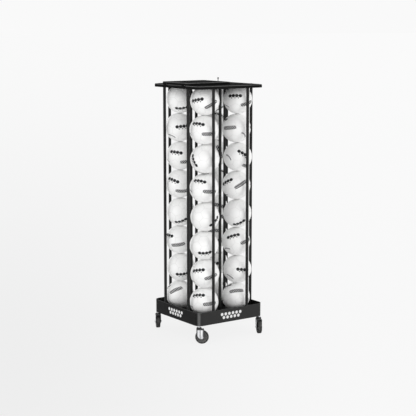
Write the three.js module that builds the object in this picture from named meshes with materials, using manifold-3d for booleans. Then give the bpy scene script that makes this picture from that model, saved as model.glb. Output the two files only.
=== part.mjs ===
// A tower ball cart. A square sheet-steel tray stands on four stem casters and carries twelve upright tubes.
// They keep four columns of balls in place and hold up a top tray with a round mouth over each column.
// A hinged lid covers the four mouths: a flange that lies on the top tray, and a raised cap on it.
// Millimetres, +Z up. The origin is on the floor, under the middle of the cart. The front side faces -Y.
import * as THREE from "three";
import { mergeVertices } from "three/addons/utils/BufferGeometryUtils.js";
import Module from "manifold-3d";

const wasm = await Module();
wasm.setup();

// Driving dimensions

// Balls
const ballDiameter = 218;
const ballsPerColumn = 8;
const ballSkin = 2.8;
const ballContactRadius = 12; // the flat on which two stacked balls press each other
const ballPassageRadius = 5; // joins the hollows of two stacked balls
const valveRadius = 4;
const ballLeanX = 6; // a column doesn't stand in the middle of its cell, but leans on its posts
const ballLeanY = 9;

// Posts
const postDiameter = 22.2;
const postWall = 1.5;
const outerPlay = 14.3; // from a ball in the middle of its cell to the posts at the cart's sides
const innerPlay = 36.9; // and to the posts inside the cart

// Sheet metal
const sheet = 2;
const postToSheet = 0.5; // from an outer post to the tray's wall
const cornerRadius = 48;
const trayHeight = 102;
const trayFloorRise = 34; // from the tray's lower edge to the underside of its floor
const topTrayHeight = 23;
const mouthPlay = 11; // all round a ball in the middle of its mouth
const ballToDeck = 1.7;

// Fits
const seatGap = 0.3; // between pieces that rest on each other or are fastened together
const cutOverrun = 5;

// Lid: its cap is flush with the front side of the top tray
const lidWidth = 360;
const lidDepth = 392;
const lidHeight = 20;
const lidCornerRadius = 30;
const flangeOverMouth = 4; // from a mouth's edge to the flange's edge
const flangeCornerRadius = 24;
const lidSlotWidth = 18;
const lidSlotDepth = 10;
const lidSlotToWall = 1.5;

// Lock eye, which stands on the top tray and comes up through the slot in the lid's flange
const eyeShankDiameter = 5;
const eyeRingRadius = 6.2; // of the ring's centre line
const eyeRingWireDiameter = 4;
const eyeAboveLid = 20; // from the lid's top to the middle of the ring
const eyeFootDiameter = 8;
const eyeFootHeight = 2.5;

// Lid hinges
const hingeInset = 60; // from each end of the lid to the middle of a hinge
const hingeWidth = 40;
const leafHeight = 13;
const leafThickness = 2;
const knuckleRadius = 3.6;
const hingePinRadius = 1.8;
const hingePinPlay = 0.3;
const knuckleGap = 0.3;
const lidKnuckleWidth = 13.4;
const knuckleClearance = 0.6; // round the other leaf's knuckles
const hingePinProud = 0.6;

// Casters
const wheelDiameter = 102;
const casterInset = 24; // from the tray's faces to the swivel axis
const casterTrail = 22;
const wheelToCrown = 6;
const forkSheet = 3;
const hoodHeight = 14;
const hoodRadius = 20.5;
const hoodTopRadius = 13.5;
const hoodSkirt = 5;
const stemCollarHeight = 9.1;
const stemCollarRadius = 7.5;
const kingpinRadius = 5;
const kingpinPlay = 0.4;
const kingpinHeadRadius = 8;
const kingpinHeadHeight = 3;
const stemRadius = 5.5;
const stemLength = 30;
const socketRadius = 11;
const stemPlay = 0.4;
const frontRightTrailAngle = 54.7; // degrees from +X, seen from above
const frontLeftTrailAngle = 152;
const rearRightTrailAngle = 333;
const rearLeftTrailAngle = 234.7;

// Caster forks
const forkBack = 20; // from the swivel axis to the fork's back edge
const legEndRadius = 15;
const legKnee = 19; // from the axle up to where the back edge turns in
const legHeel = 4; // from the swivel axis to where it meets the lower edge
const wheelToLeg = 2.5;

// Wheels
const treadWidth = 32;
const treadDepth = 11;
const treadShoulder = 4;
const treadFlat = 18;
const treadBaseWidth = 26;
const rimWall = 4;
const rimWidth = 26;
const webThickness = 14;
const hubRadius = 11;
const hubFlare = 3;
const hubToLeg = 1;
const axleRadius = 4;
const axlePlay = 0.5;
const axleHeadRadius = 7.5;
const axleHeadHeight = 4.5;
const axleNutHeight = 6;
const axleEndProud = 1.5;

// Facets
const ballSegments = 10;
const ballArcSteps = 6;
const ballInnerArcSteps = 6;
const postSegments = 12;
const cornerSegments = 6;
const mouthSegments = 36;
const treadSegments = 20;
const wheelSegments = 16;
const pinSegments = 12;
const hexagon = 6;
const weldTolerance = 1e-4;

// Places worked out from the driving dimensions
const ballRadius = ballDiameter / 2;
const postRadius = postDiameter / 2;
const cellOffset = ballRadius + postRadius + innerPlay; // from the cart's middle to a cell's middle
const outerPostOffset = cellOffset + ballRadius + postRadius + outerPlay;
const cartHalf = outerPostOffset + postRadius + postToSheet + sheet;
const casterOffset = cartHalf - casterInset;

const wheelRadius = wheelDiameter / 2;
const crownBottom = wheelDiameter + wheelToCrown;
const crownTop = crownBottom + forkSheet;
const hoodBottom = crownTop + seatGap;
const hoodTop = hoodBottom + hoodHeight;
const collarBottom = hoodTop + seatGap;
const trayBottom = collarBottom + stemCollarHeight + seatGap;
const trayTop = trayBottom + trayHeight;
const trayFloorBottom = trayBottom + trayFloorRise;
const trayFloorTop = trayFloorBottom + sheet;

const pileBottom = trayFloorTop + seatGap;
const pileTop = pileBottom + ballsPerColumn * ballDiameter;
const deckBottom = pileTop + ballToDeck;
const topTrayTop = deckBottom + sheet;
const topTrayBottom = topTrayTop - topTrayHeight;
const mouthRadius = ballRadius + mouthPlay;

const lidBottom = topTrayTop + seatGap;
const lidTop = lidBottom + lidHeight;
const lidFront = -cartHalf;
const lidRear = lidFront + lidDepth;
const eyePlace = lidRear + lidSlotToWall + lidSlotDepth / 2;
const hingeOffset = lidWidth / 2 - hingeInset; // from the middle of the lid to each hinge

// Materials

const finish = (color, roughness, metalness) =>
  new THREE.MeshStandardMaterial({ color, roughness, metalness });
const materials = {
  blackCoat: finish(0x232325, 0.45, 0.3),
  tube: finish(0x3a3a3d, 0.4, 0.4),
  ball: finish(0xf2f2f1, 0.45, 0),
  zinc: finish(0xc9ccd0, 0.3, 0.9),
  blackPlastic: finish(0x1b1b1c, 0.5, 0),
  wheelCore: finish(0x4a4b4d, 0.55, 0),
  tread: finish(0x2c2c2d, 0.8, 0),
};

// From a closed geometry to a solid for cuts and joins, and back

function solidOf(geometry) {
  const bare = geometry.clone();
  bare.deleteAttribute("normal");
  bare.deleteAttribute("uv");
  const welded = mergeVertices(bare, weldTolerance);
  return new wasm.Manifold(
    new wasm.Mesh({
      numProp: 3,
      vertProperties: welded.attributes.position.array,
      triVerts: new Uint32Array(welded.index.array),
    }),
  );
}

function geometryOf(solid) {
  const { vertProperties, triVerts, numProp } = solid.getMesh();
  const points = new THREE.InterleavedBuffer(vertProperties, numProp);
  const geometry = new THREE.BufferGeometry();
  geometry.setAttribute("position", new THREE.InterleavedBufferAttribute(points, 3, 0));
  geometry.setIndex(new THREE.BufferAttribute(triVerts, 1));
  const plain = geometry.toNonIndexed();
  plain.computeVertexNormals();
  return plain;
}

// Basic shapes as solids

function roundedRectangle(left, right, front, rear, radius) {
  const quarter = Math.PI / 2;
  const shape = new THREE.Shape();
  shape.moveTo(left + radius, front);
  shape.absarc(right - radius, front + radius, radius, -quarter, 0);
  shape.absarc(right - radius, rear - radius, radius, 0, quarter);
  shape.absarc(left + radius, rear - radius, radius, quarter, 2 * quarter);
  shape.absarc(left + radius, front + radius, radius, 2 * quarter, 3 * quarter);
  shape.closePath();
  return shape;
}

// A flat outline drawn out from one height to another
function plate(shape, bottom, top) {
  const geometry = new THREE.ExtrudeGeometry(shape, {
    depth: top - bottom,
    bevelEnabled: false,
    curveSegments: cornerSegments,
  });
  return solidOf(geometry.translate(0, 0, bottom));
}

function block(left, right, front, rear, bottom, top) {
  const geometry = new THREE.BoxGeometry(right - left, rear - front, top - bottom);
  geometry.translate((left + right) / 2, (front + rear) / 2, (bottom + top) / 2);
  return solidOf(geometry);
}

// An upright cylinder
function rod(radius, bottom, top, segments, x = 0, y = 0) {
  const geometry = new THREE.CylinderGeometry(radius, radius, top - bottom, segments);
  geometry.rotateX(Math.PI / 2);
  return solidOf(geometry.translate(x, y, (bottom + top) / 2));
}

// A turned outline of [radius, height] pairs, about the upright axis
function turned(outline, segments) {
  const points = outline.map(([radius, height]) => new THREE.Vector2(radius, height));
  return new THREE.LatheGeometry(points, segments).rotateX(Math.PI / 2);
}

const cart = new THREE.Group();

function addPiece(parent, name, geometry, material) {
  const mesh = new THREE.Mesh(geometry, material);
  mesh.name = name;
  parent.add(mesh);
  return mesh;
}

// The four corners, and so the four cells and casters
const corners = [
  { name: "front_left", x: -1, y: -1 },
  { name: "front_right", x: 1, y: -1 },
  { name: "rear_right", x: 1, y: 1 },
  { name: "rear_left", x: -1, y: 1 },
];

// Tray: a wall all round, and a floor above its lower edge

const cartOutline = roundedRectangle(-cartHalf, cartHalf, -cartHalf, cartHalf, cornerRadius);
const insideHalf = cartHalf - sheet;
const insideOutline = roundedRectangle(
  -insideHalf,
  insideHalf,
  -insideHalf,
  insideHalf,
  cornerRadius - sheet,
);

function makeTray() {
  return plate(cartOutline, trayBottom, trayTop)
    .subtract(plate(insideOutline, trayFloorTop, trayTop + cutOverrun))
    .subtract(plate(insideOutline, trayBottom - cutOverrun, trayFloorBottom));
}
addPiece(cart, "tray", geometryOf(makeTray()), materials.blackCoat);

// Posts: two along each side of the cart, and four inside, between the cells

const postPlaces = [
  ["post_front_left", -cellOffset, -outerPostOffset],
  ["post_front_right", cellOffset, -outerPostOffset],
  ["post_right_front", outerPostOffset, -cellOffset],
  ["post_right_rear", outerPostOffset, cellOffset],
  ["post_rear_right", cellOffset, outerPostOffset],
  ["post_rear_left", -cellOffset, outerPostOffset],
  ["post_left_rear", -outerPostOffset, cellOffset],
  ["post_left_front", -outerPostOffset, -cellOffset],
  ["post_inner_front", 0, -cellOffset],
  ["post_inner_right", cellOffset, 0],
  ["post_inner_rear", 0, cellOffset],
  ["post_inner_left", -cellOffset, 0],
];

const postBottom = trayFloorTop + seatGap;
const postTop = deckBottom - seatGap;
const postOutline = [
  [postRadius, postBottom],
  [postRadius, postTop],
  [postRadius - postWall, postTop],
  [postRadius - postWall, postBottom],
  [postRadius, postBottom],
];
for (const [name, x, y] of postPlaces) {
  const post = addPiece(cart, name, turned(postOutline, postSegments), materials.tube);
  post.position.set(x, y, 0);
}

// Top tray: upside down, so its floor is a deck with a mouth over each cell, and its wall a skirt

function makeTopTray() {
  let tray = plate(cartOutline, topTrayBottom, topTrayTop).subtract(
    plate(insideOutline, topTrayBottom - cutOverrun, deckBottom),
  );
  for (const { x, y } of corners) {
    const mouth = rod(
      mouthRadius,
      deckBottom - cutOverrun,
      topTrayTop + cutOverrun,
      mouthSegments,
      x * cellOffset,
      y * cellOffset,
    );
    tray = tray.subtract(mouth);
  }
  return tray;
}
addPiece(cart, "top_tray", geometryOf(makeTopTray()), materials.blackCoat);

// Ball columns: hollow balls that press each other flat where they touch, with the valve hole on top

function makeBallColumn() {
  const innerRadius = ballRadius - ballSkin;
  const outline = [[0, pileBottom]];
  const addArc = (middle, radius, fromReach, toReach, direction, steps) => {
    // from the pole at -direction to the pole at +direction, cut off at the reaches from the axis
    const start = Math.asin(fromReach / radius);
    const end = Math.PI - Math.asin(toReach / radius);
    for (let step = 0; step <= steps; step++) {
      const angle = start + ((end - start) * step) / steps;
      outline.push([radius * Math.sin(angle), middle - direction * radius * Math.cos(angle)]);
    }
  };
  outline.push([ballContactRadius, pileBottom]);
  for (let ball = 0; ball < ballsPerColumn; ball++) {
    const upperReach = ball === ballsPerColumn - 1 ? valveRadius : ballContactRadius;
    const middle = pileBottom + ballRadius + ball * ballDiameter;
    addArc(middle, ballRadius, ballContactRadius, upperReach, 1, ballArcSteps);
  }
  for (let ball = ballsPerColumn - 1; ball >= 0; ball--) {
    const upperReach = ball === ballsPerColumn - 1 ? valveRadius : ballPassageRadius;
    const lowerReach = ball === 0 ? 0 : ballPassageRadius;
    const middle = pileBottom + ballRadius + ball * ballDiameter;
    addArc(middle, innerRadius, upperReach, lowerReach, -1, ballInnerArcSteps);
  }
  return turned(outline, ballSegments);
}
for (const { name, x, y } of corners) {
  const column = addPiece(cart, "ball_column_" + name, makeBallColumn(), materials.ball);
  column.position.set(x * cellOffset + ballLeanX, y * cellOffset + ballLeanY, 0);
}

// Lid: a low cap and, round it, a flange that lies over the mouths, with a slot for the lock eye

const flangeHalf = cellOffset + mouthRadius + flangeOverMouth;

function makeLid() {
  const half = lidWidth / 2;
  const outline = roundedRectangle(-half, half, lidFront, lidRear, lidCornerRadius);
  const inside = roundedRectangle(
    -half + sheet,
    half - sheet,
    lidFront + sheet,
    lidRear - sheet,
    lidCornerRadius - sheet,
  );
  const flange = roundedRectangle(-flangeHalf, flangeHalf, -flangeHalf, flangeHalf, flangeCornerRadius);
  const flangeTop = lidBottom + sheet;
  const slotFront = lidRear + lidSlotToWall;
  return plate(outline, lidBottom, lidTop)
    .add(plate(flange, lidBottom, flangeTop))
    .subtract(plate(inside, lidBottom - cutOverrun, lidTop - sheet))
    .subtract(
      block(
        -lidSlotWidth / 2,
        lidSlotWidth / 2,
        slotFront,
        slotFront + lidSlotDepth,
        lidBottom - cutOverrun,
        flangeTop + cutOverrun,
      ),
    );
}
addPiece(cart, "lid", geometryOf(makeLid()), materials.blackCoat);

// Lock eye: a ring on a shank, for a padlock over the lid's flange

function makeLockEye() {
  const bottom = topTrayTop + seatGap;
  const ringMiddle = lidTop + eyeAboveLid;
  const ring = new THREE.TorusGeometry(eyeRingRadius, eyeRingWireDiameter / 2, hexagon, pinSegments);
  ring.rotateX(Math.PI / 2).translate(0, 0, ringMiddle);
  return rod(eyeFootDiameter / 2, bottom, bottom + eyeFootHeight, pinSegments)
    .add(rod(eyeShankDiameter / 2, bottom, ringMiddle - eyeRingRadius, pinSegments))
    .add(solidOf(ring));
}
const lockEye = addPiece(cart, "lock_eye", geometryOf(makeLockEye()), materials.blackCoat);
lockEye.position.set(0, eyePlace, 0);

// Lid hinges: a leaf on the top tray's skirt, a leaf on the lid's wall, and a pin through both

const hingeAxisY = -(cartHalf + seatGap + knuckleRadius);
const hingeAxisZ = (topTrayTop + lidBottom) / 2;

// A cylinder along the hinge's axis, from one place beside the hinge's middle to another
function alongHinge(radius, from, to) {
  const geometry = new THREE.CylinderGeometry(radius, radius, to - from, pinSegments);
  geometry.rotateZ(Math.PI / 2);
  return solidOf(geometry.translate((from + to) / 2, hingeAxisY, hingeAxisZ));
}

function makeLeaf(bottom, top, ownKnuckles, otherKnuckles) {
  const back = -(cartHalf + seatGap);
  let leaf = block(-hingeWidth / 2, hingeWidth / 2, back - leafThickness, back, bottom, top);
  for (const [from, to] of otherKnuckles) {
    const clearance = alongHinge(knuckleRadius + knuckleClearance, from, to);
    leaf = leaf.subtract(clearance);
  }
  for (const [from, to] of ownKnuckles) leaf = leaf.add(alongHinge(knuckleRadius, from, to));
  return leaf.subtract(
    alongHinge(hingePinRadius + hingePinPlay, -hingeWidth / 2 - cutOverrun, hingeWidth / 2 + cutOverrun),
  );
}

const lidKnuckles = [[-lidKnuckleWidth / 2, lidKnuckleWidth / 2]];
const trayKnuckleStart = lidKnuckleWidth / 2 + knuckleGap;
const trayKnuckles = [
  [-hingeWidth / 2, -trayKnuckleStart],
  [trayKnuckleStart, hingeWidth / 2],
];
const besideLidKnuckle = [[-trayKnuckleStart, trayKnuckleStart]];
const besideTrayKnuckles = [
  [-hingeWidth / 2 - cutOverrun, -lidKnuckleWidth / 2],
  [lidKnuckleWidth / 2, hingeWidth / 2 + cutOverrun],
];
const trayLeaf = geometryOf(
  makeLeaf(hingeAxisZ - leafHeight, hingeAxisZ, trayKnuckles, besideLidKnuckle),
);
const lidLeaf = geometryOf(
  makeLeaf(hingeAxisZ, hingeAxisZ + leafHeight, lidKnuckles, besideTrayKnuckles),
);
const hingePin = geometryOf(
  alongHinge(hingePinRadius, -hingeWidth / 2 - hingePinProud, hingeWidth / 2 + hingePinProud),
);
for (const [side, x] of [
  ["left", -hingeOffset],
  ["right", hingeOffset],
]) {
  addPiece(cart, "hinge_tray_leaf_" + side, trayLeaf, materials.blackCoat).position.x = x;
  addPiece(cart, "hinge_lid_leaf_" + side, lidLeaf, materials.blackCoat).position.x = x;
  addPiece(cart, "hinge_pin_" + side, hingePin, materials.zinc).position.x = x;
}

// Casters. In a caster's own frame the swivel axis is Z, the trail runs along +X and the axle along Y.

// A cylinder along the axle, from one place beside the wheel's middle to another
function alongAxle(radius, from, to, segments) {
  const geometry = new THREE.CylinderGeometry(radius, radius, to - from, segments);
  return solidOf(geometry.translate(casterTrail, (from + to) / 2, wheelRadius));
}

const socketOutline = [
  [socketRadius, trayBottom],
  [socketRadius, trayFloorBottom - seatGap],
  [stemRadius + stemPlay, trayFloorBottom - seatGap],
  [stemRadius + stemPlay, trayBottom],
  [socketRadius, trayBottom],
];

const hoodRoundShare = 0.72; // how far out the hood's shoulder reaches, of the way from its top to its skirt
const hoodShoulderShare = 0.62; // and how high it lies, of the way from the skirt to the top
const hoodBore = kingpinRadius + seatGap;
const hoodOutline = [
  [hoodRadius, hoodBottom],
  [hoodRadius, hoodBottom + hoodSkirt],
  [
    hoodTopRadius + hoodRoundShare * (hoodRadius - hoodTopRadius),
    hoodBottom + hoodSkirt + hoodShoulderShare * (hoodHeight - hoodSkirt),
  ],
  [hoodTopRadius, hoodTop],
  [hoodBore, hoodTop],
  [hoodBore, hoodBottom],
  [hoodRadius, hoodBottom],
];
const stemOutline = [
  [0, crownBottom - seatGap - kingpinHeadHeight],
  [kingpinHeadRadius, crownBottom - seatGap - kingpinHeadHeight],
  [kingpinHeadRadius, crownBottom - seatGap],
  [kingpinRadius, crownBottom - seatGap],
  [kingpinRadius, collarBottom],
  [stemCollarRadius, collarBottom],
  [stemCollarRadius, trayBottom - seatGap],
  [stemRadius, trayBottom - seatGap],
  [stemRadius, trayBottom + stemLength],
  [0, trayBottom + stemLength],
];

const legInside = treadWidth / 2 + wheelToLeg;
const legOutside = legInside + forkSheet;

function makeFork() {
  const leg = new THREE.Shape();
  leg.moveTo(-forkBack, crownTop);
  leg.lineTo(-forkBack, wheelRadius + legKnee);
  leg.lineTo(legHeel, wheelRadius - legEndRadius);
  leg.absarc(casterTrail, wheelRadius, legEndRadius, -Math.PI / 2, 0);
  leg.lineTo(casterTrail + legEndRadius, crownTop);
  leg.closePath();
  const sideways = (from, to) => {
    const geometry = new THREE.ExtrudeGeometry(leg, {
      depth: to - from,
      bevelEnabled: false,
      curveSegments: cornerSegments,
    });
    // the outline's height turns upright, and its depth turns to -Y
    return solidOf(geometry.rotateX(Math.PI / 2).translate(0, to, 0));
  };
  const crown = block(
    -forkBack,
    casterTrail + legEndRadius,
    -legOutside,
    legOutside,
    crownBottom,
    crownTop,
  );
  return crown
    .add(sideways(legInside, legOutside))
    .add(sideways(-legOutside, -legInside))
    .subtract(
      rod(kingpinRadius + kingpinPlay, crownBottom - cutOverrun, crownTop + cutOverrun, pinSegments),
    )
    .subtract(
      alongAxle(axleRadius + axlePlay, -legOutside - cutOverrun, legOutside + cutOverrun, pinSegments),
    );
}

function makeAxle() {
  const seat = legOutside + seatGap;
  return alongAxle(axleRadius, -seat - axleNutHeight - axleEndProud, seat, pinSegments)
    .add(alongAxle(axleHeadRadius, seat, seat + axleHeadHeight, hexagon))
    .add(alongAxle(axleHeadRadius, -seat - axleNutHeight, -seat, hexagon));
}

// A wheel's piece: [radius, place beside the wheel's middle] pairs turned about the axle
function turnedOnAxle(outline, segments) {
  const points = outline.map(([radius, place]) => new THREE.Vector2(radius, place));
  const geometry = new THREE.LatheGeometry(points, segments);
  // a flat facet lies at the bottom
  return geometry.rotateY(Math.PI / segments).translate(casterTrail, 0, wheelRadius);
}

const rimRadius = wheelRadius - treadDepth;
const hubHalf = legInside - hubToLeg;
const boreRadius = axleRadius + axlePlay;
const coreHalfOutline = [
  [boreRadius, hubHalf],
  [hubRadius, hubHalf],
  [hubRadius + hubFlare, webThickness / 2],
  [rimRadius - rimWall - hubFlare, webThickness / 2],
  [rimRadius - rimWall, rimWidth / 2],
  [rimRadius, rimWidth / 2],
];
const coreOutline = [
  ...coreHalfOutline.map(([radius, place]) => [radius, -place]),
  ...coreHalfOutline.toReversed(),
  [boreRadius, -hubHalf],
];

// The facets of the tread lie outside its round form, so that its flats touch the floor
const roundToFacets = 1 / Math.cos(Math.PI / treadSegments);
const treadBase = (rimRadius + seatGap) * roundToFacets;
const treadTop = wheelRadius * roundToFacets;
const treadHalfOutline = [
  [treadBase, treadBaseWidth / 2],
  [treadTop - treadShoulder, treadWidth / 2],
  [treadTop, treadFlat / 2],
];
const treadOutline = [
  ...treadHalfOutline.map(([radius, place]) => [radius, -place]),
  ...treadHalfOutline.toReversed(),
  [treadBase, -treadBaseWidth / 2],
];

const forkGeometry = geometryOf(makeFork());
const axleGeometry = geometryOf(makeAxle());

function addCaster(name, x, y, trailAngle) {
  const place = new THREE.Group();
  place.position.set(x, y, 0);
  cart.add(place);
  addPiece(place, "caster_socket_" + name, turned(socketOutline, pinSegments), materials.blackCoat);
  addPiece(place, "caster_stem_" + name, turned(stemOutline, pinSegments), materials.zinc);
  addPiece(place, "caster_hood_" + name, turned(hoodOutline, wheelSegments), materials.blackPlastic);
  const swivel = new THREE.Group();
  swivel.rotation.z = THREE.MathUtils.degToRad(trailAngle);
  place.add(swivel);
  addPiece(swivel, "caster_fork_" + name, forkGeometry, materials.zinc);
  addPiece(swivel, "caster_axle_" + name, axleGeometry, materials.zinc);
  addPiece(swivel, "wheel_core_" + name, turnedOnAxle(coreOutline, wheelSegments), materials.wheelCore);
  addPiece(swivel, "wheel_tread_" + name, turnedOnAxle(treadOutline, treadSegments), materials.tread);
}

const trailAngles = {
  front_left: frontLeftTrailAngle,
  front_right: frontRightTrailAngle,
  rear_right: rearRightTrailAngle,
  rear_left: rearLeftTrailAngle,
};
for (const { name, x, y } of corners) {
  addCaster(name, x * casterOffset, y * casterOffset, trailAngles[name]);
}

export default cart;
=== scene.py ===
import itertools
import math
import random

import bmesh
import bpy
from mathutils import Matrix, Vector


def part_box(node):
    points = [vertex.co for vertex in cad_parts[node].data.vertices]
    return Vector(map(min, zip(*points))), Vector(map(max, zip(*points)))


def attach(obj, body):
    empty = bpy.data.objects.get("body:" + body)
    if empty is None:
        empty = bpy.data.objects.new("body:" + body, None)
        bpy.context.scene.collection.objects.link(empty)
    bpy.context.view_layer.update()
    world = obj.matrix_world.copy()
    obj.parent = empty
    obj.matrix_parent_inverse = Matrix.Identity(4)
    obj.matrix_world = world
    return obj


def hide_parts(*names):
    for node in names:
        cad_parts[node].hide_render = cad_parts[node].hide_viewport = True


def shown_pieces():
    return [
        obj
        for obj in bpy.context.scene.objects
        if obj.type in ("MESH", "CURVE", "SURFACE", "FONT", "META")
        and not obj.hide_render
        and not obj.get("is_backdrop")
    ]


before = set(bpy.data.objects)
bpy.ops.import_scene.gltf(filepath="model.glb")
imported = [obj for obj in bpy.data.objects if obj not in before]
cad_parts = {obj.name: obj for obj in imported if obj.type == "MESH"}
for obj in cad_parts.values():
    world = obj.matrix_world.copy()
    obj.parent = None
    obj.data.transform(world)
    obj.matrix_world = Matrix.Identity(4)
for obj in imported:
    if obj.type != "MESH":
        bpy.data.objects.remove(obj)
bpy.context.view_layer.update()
print("cad loaded")

mm = 0.001
corners = ["front_left", "front_right", "rear_right", "rear_left"]
upright = Matrix.Identity(4)


class Settings(dict):
    # a dictionary whose values can be read as attributes
    __getattr__ = dict.__getitem__


# Shader maths

def operation(name, swapped=False):
    # a method of Term that adds one maths node
    def method(*values):
        tree = values[0].tree
        values = reversed(values) if swapped else values
        return addNode(tree, "ShaderNodeMath", *values, settings={"operation": name})

    return method


class Term:
    # a socket that can stand in an expression

    def __init__(self, tree, socket):
        self.tree = tree
        self.socket = socket

    __add__ = __radd__ = operation("ADD")
    __mul__ = __rmul__ = operation("MULTIPLY")
    __sub__ = operation("SUBTRACT")
    __rsub__ = operation("SUBTRACT", swapped=True)
    __truediv__ = operation("DIVIDE")
    __rtruediv__ = operation("DIVIDE", swapped=True)
    __gt__ = operation("GREATER_THAN")
    __lt__ = operation("LESS_THAN")
    __abs__ = operation("ABSOLUTE")
    least = operation("MINIMUM")
    most = operation("MAXIMUM")
    root = operation("SQRT")
    sign = operation("SIGN")
    nearest = operation("ROUND")
    rest = operation("FLOORED_MODULO")

    def fade(self, low, high, atLow=0.0, atHigh=1.0):
        smooth = {"interpolation_type": "SMOOTHSTEP"}
        return addNode(self.tree, "ShaderNodeMapRange", self, low, high, atLow, atHigh, settings=smooth)


def feed(tree, socket, value):
    if isinstance(value, Term):
        tree.links.new(value.socket, socket)
    else:
        socket.default_value = value


def feedNamed(tree, node, named):
    for name, value in named.items():
        feed(tree, node.inputs[name.replace("_", " ")], value)


def addNode(tree, kind, *values, output=0, settings=(), **named):
    # a new node, its first inputs given in order and others by name; gives one of its outputs
    node = tree.nodes.new(kind)
    for key, value in dict(settings).items():
        setattr(node, key, value)
    for socket, value in zip(node.inputs, values):
        feed(tree, socket, value)
    feedNamed(tree, node, named)
    return Term(tree, node.outputs[output])


class Finish:
    # a material with the fixed values of its shader, and the nodes that vary it

    def __init__(self, name, **fixed):
        self.material = bpy.data.materials.new(name)
        self.material.use_nodes = True
        self.tree = self.material.node_tree
        self.shader = self.tree.nodes["Principled BSDF"]
        self.set(**fixed)

    def set(self, **named):
        feedNamed(self.tree, self.shader, named)

    def node(self, kind, *values, **named):
        return addNode(self.tree, kind, *values, **named)

    def place(self):
        return self.node("ShaderNodeTexCoord", output="Object")

    def parts(self, vector):
        return [self.node("ShaderNodeSeparateXYZ", vector, output=i) for i in range(3)]

    def own(self, name, output="Fac"):
        return self.node("ShaderNodeAttribute", settings={"attribute_name": name}, output=output)

    def facing(self):
        return self.parts(self.node("ShaderNodeNewGeometry", output="Normal"))

    def noise(self, scale, detail=2.0, stretch=None):
        vector = self.place()
        if stretch:
            vector = self.node("ShaderNodeVectorMath", vector, stretch, settings={"operation": "MULTIPLY"})
        return self.node("ShaderNodeTexNoise", Vector=vector, Scale=scale, Detail=detail)

    def cells(self, scale):
        return self.node("ShaderNodeTexVoronoi", Vector=self.place(), Scale=scale)

    def mix(self, factor, first, second):
        mixed = self.node("ShaderNodeMix", factor, settings={"data_type": "RGBA"}, output=2)
        for socket, value in zip(mixed.socket.node.inputs[6:8], (first, second)):
            feed(self.tree, socket, value)
        return mixed

    def bump(self, height, distance, strength=1.0):
        self.set(Normal=self.node("ShaderNodeBump", Height=height, Distance=distance, Strength=strength))


def grey(value, warmth=0.0):
    return (value * (1 + warmth), value, value * (1 - warmth), 1.0)


# Finishes

ballRadius = 109  # mm

# dark and light are the coat's own tones and dust its dust; the lightest grey is the painted highlight on
# bends and corners
coatLook = Settings(
    dark=0.0095, light=0.0125, dust=0.03, worn=0.16, roughness=0.42, specular=0.06,
    peelScale=900, peelDepth=0.05 * mm,
)
# the last value is the lighter grey painted on the sides that face +X, a painted light
printLook = Settings(
    size=24 * mm, pitch=34 * mm, rise=13 * mm, soft=0.3 * mm, rowEnd=2.5,
    outside=304.2 * mm, grey=0.74, faded=0.031,
)
deckLook = Settings(coatLook, dark=0.0085, light=0.0115, dust=0.026, worn=0.17, roughness=0.6, specular=0.003)
tubeLook = Settings(
    dark=0.014, light=0.018, worn=0.1, roughness=0.42, specular=0.12, peelScale=1400, peelDepth=0.03 * mm,
)
ballLook = Settings(
    white=(0.93, 0.93, 0.925, 1), grubby=(0.87, 0.867, 0.85, 1), seam=(0.52, 0.52, 0.51, 1),
    mark=(0.008, 0.008, 0.010, 1), strip=(0.016, 0.016, 0.018, 1), faint=(0.22, 0.22, 0.23, 1),
    roughness=0.44, specular=0.36, pebbleScale=620, pebbleDepth=0.09 * mm,
)
# the last colour is painted shade: a dark painted reflection on the fork's sheet round its pads
zincLook = Settings(bright=(0.9, 0.905, 0.915, 1), dull=(0.72, 0.73, 0.75, 1), shade=(0.035, 0.035, 0.037, 1))
wheelLook = Settings(core=0.085, coreDust=0.14, tread=0.03, treadDust=0.075)

# the marks on the balls, in mm: half sizes, how far right they end, and how far up or down they lie
markShape = Settings(
    soft=0.35, facing=0.6,
    dot=12.7, dotPitch=26, dotUp=4.0, dotEnd=52, small=4.4, smallDown=13.0, smallEnd=39,
    bar=14.5, barEnd=54, barTaper=4.0, hatch=5.2, hatchPitch=14.0, hatchSlant=0.8,
    arc=4.6, arcRadius=55, arcEnd=31,
)


def coatFinish(name, look):
    # powder coat: a fine orange peel, a painted highlight as lighter grey on the bends and tray corners, and
    # a little dust on what faces up
    finish = Finish(name, Specular_IOR_Level=look.specular)
    cloud = finish.noise(6.0, 4.0)
    peel = finish.noise(look.peelScale, 3.0)
    colour = finish.mix(cloud.fade(0.35, 0.65), grey(look.dark), grey(look.light))
    if "dust" in look:
        dusty = finish.facing()[2].fade(0.6, 1.0) * finish.noise(35.0, 5.0).fade(0.45, 0.8) * 0.4
        colour = finish.mix(dusty, colour, grey(look.dust, 0.03))
    # painted highlight: lighter grey where the mesh's attribute for it is set, on bends, rims and tray
    # corners, broken up by noise
    paintedHighlight = finish.own("painted_highlight") * finish.noise(60.0, 5.0).fade(0.2, 0.6, 0.6, 1.0)
    colour = finish.mix(paintedHighlight, colour, grey(look.worn))
    finish.set(Base_Color=colour, Roughness=look.roughness + cloud * 0.06 + peel * 0.04)
    finish.bump(peel, look.peelDepth)
    return finish, colour


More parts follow.
